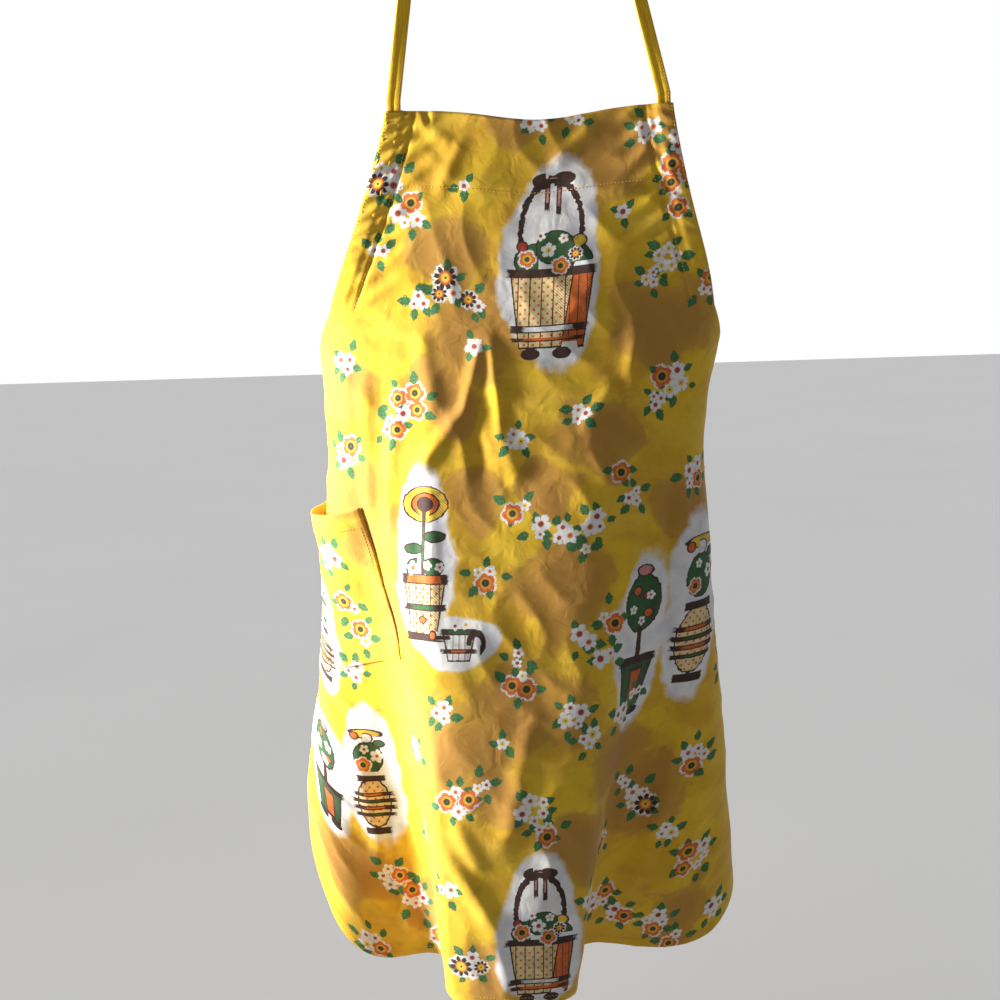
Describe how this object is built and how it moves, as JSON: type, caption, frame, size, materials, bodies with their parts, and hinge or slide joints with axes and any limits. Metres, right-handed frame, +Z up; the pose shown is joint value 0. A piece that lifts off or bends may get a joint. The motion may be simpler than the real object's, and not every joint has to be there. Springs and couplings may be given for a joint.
{
  "type": "bib apron on a wall hook",
  "caption": "Printed cotton bib apron with a patch pocket, hanging by its neck loop from a long-armed wall hook.",
  "frame": {"origin": "centre of the hook's back plate, on the wall plane", "axes": "+Z up, +Y into the wall, +X to the right of someone facing the apron"},
  "size_m": [0.4485, 0.1705, 1.499],
  "materials": {
    "printed_cotton": "plain weave, printed, washed soft",
    "strap_cotton": "plain yellow cotton, folded and topstitched",
    "lining_cotton": "paler reverse of the print",
    "hook_metal": "satin nickel plate",
    "knob_metal": "lacquered brass"
  },
  "bodies": {
    "wall_hook": {"hook_plate": "hook_metal", "hook_arm": "hook_metal", "hook_knob": "knob_metal"},
    "loop_top": {"strap_over_hook": "strap_cotton"},
    "neck_loop": {"neck_strap_left": "strap_cotton", "neck_strap_right": "strap_cotton"},
    "apron": {"apron_panel": "printed_cotton", "bib_facing": "lining_cotton", "pocket_patch": "printed_cotton", "casing_strap_left": "strap_cotton", "casing_strap_right": "strap_cotton", "armhole_facing_left": "lining_cotton", "armhole_facing_right": "lining_cotton"},
    "tie_left": {"waist_tie_left": "strap_cotton", "tie_knot_left": "strap_cotton"},
    "tie_right": {"waist_tie_right": "strap_cotton", "tie_knot_right": "strap_cotton"}
  },
  "joints": [
    {"name": "lift_off", "type": "slide", "parent": "wall_hook", "child": "loop_top", "axis": [0, 0, 1], "range_m": [0, 0.06]},
    {"name": "side_swing", "type": "hinge", "parent": "loop_top", "child": "neck_loop", "pos_m": [0, -0.096, 0], "axis": [0, 1, 0], "range_deg": [-12, 12]},
    {"name": "front_sway", "type": "hinge", "parent": "neck_loop", "child": "apron", "pos_m": [0, -0.096, -0.584], "axis": [-1, 0, 0], "range_deg": [0, 35]},
    {"name": "tie_swing_left", "type": "hinge", "parent": "apron", "child": "tie_left", "pos_m": [-0.1559, -0.0753, -0.7687], "axis": [0, -1, 0], "range_deg": [0, 16]},
    {"name": "tie_swing_right", "type": "hinge", "parent": "apron", "child": "tie_right", "pos_m": [0.1902, -0.0787, -0.769], "axis": [0, 1, 0], "range_deg": [0, 16]}
  ]
}
